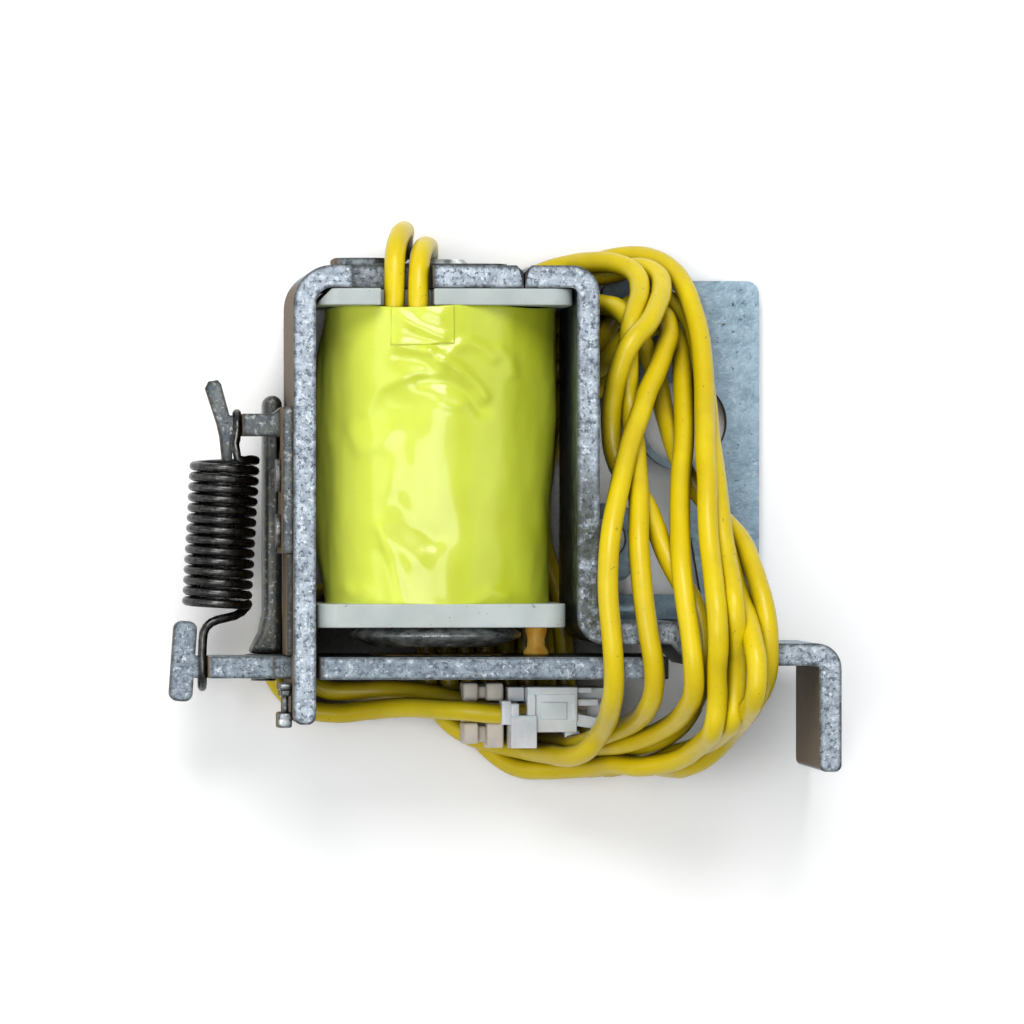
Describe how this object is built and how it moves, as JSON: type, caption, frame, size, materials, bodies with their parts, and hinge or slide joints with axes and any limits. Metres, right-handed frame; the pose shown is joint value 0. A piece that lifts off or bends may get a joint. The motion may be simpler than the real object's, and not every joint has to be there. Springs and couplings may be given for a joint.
{
  "type": "push pull solenoid",
  "caption": "Hinged-armature solenoid: steel frame with mounting plate and hook, taped coil, return spring, looped yellow leads and a small plug.",
  "frame": {"origin": "centre of the large mounting hole, on the mounting plate's back face", "axes": "+Z out of the mounting face towards the frame's open front, +X towards the hook end, +Y from the armature towards the closed end of the frame"},
  "size_m": [0.048, 0.0403, 0.0202],
  "materials": {
    "zinc_steel": "zinc plated, mottled, satin",
    "dark_iron": "machined soft iron with bright streaks",
    "bright_steel": "plated, satin",
    "gunmetal": "dark oiled steel, semi-gloss",
    "spring_steel": "dark spring wire, glossy",
    "bobbin_plastic": "moulded, slightly glossy",
    "copper_wire": "enamelled winding wire",
    "coil_tape": "glossy wrinkled yellow-green tape",
    "splice_sleeve": "sleeve over the soldered joint",
    "brass_shim": "rolled",
    "amber_rubber": "translucent amber",
    "lead_insulation": "glossy yellow wire insulation",
    "white_plastic": "moulded nylon",
    "tinned_brass": "stamped and tinned",
    "beige_plastic": "moulded"
  },
  "bodies": {
    "frame": {"yoke": "zinc_steel", "bracket": "zinc_steel", "core": "dark_iron", "core_plate": "bright_steel", "pole_shoe": "dark_iron", "bobbin": "bobbin_plastic", "winding": "copper_wire", "coil_tape": "coil_tape", "tape_patch": "coil_tape", "lead_splices": "splice_sleeve", "damper_pad": "amber_rubber", "spring_anchor": "bright_steel", "anchor_rivets": "bright_steel", "hinge_keeper": "bright_steel", "return_spring": "spring_steel", "lead_a": "lead_insulation", "lead_b": "lead_insulation", "bundle_back": "lead_insulation", "bundle_front": "lead_insulation", "tail_a": "lead_insulation", "tail_b": "lead_insulation", "connector_housing": "white_plastic", "connector_contacts": "tinned_brass", "connector_retainer": "beige_plastic"},
    "armature": {"armature": "zinc_steel", "armature_lever": "gunmetal", "lever_rivet": "bright_steel", "residual_shim": "brass_shim"}
  },
  "joints": [
    {"name": "armature_swing", "type": "hinge", "parent": "frame", "child": "armature", "pos_m": [-0.0288, -0.0178, 0.0099], "axis": [0, 0, 1], "range_deg": [0, 1.8], "stiffness_Nm_per_rad": 0.02, "springref_deg": -17.19, "deforming": ["return_spring", "damper_pad"]}
  ]
}
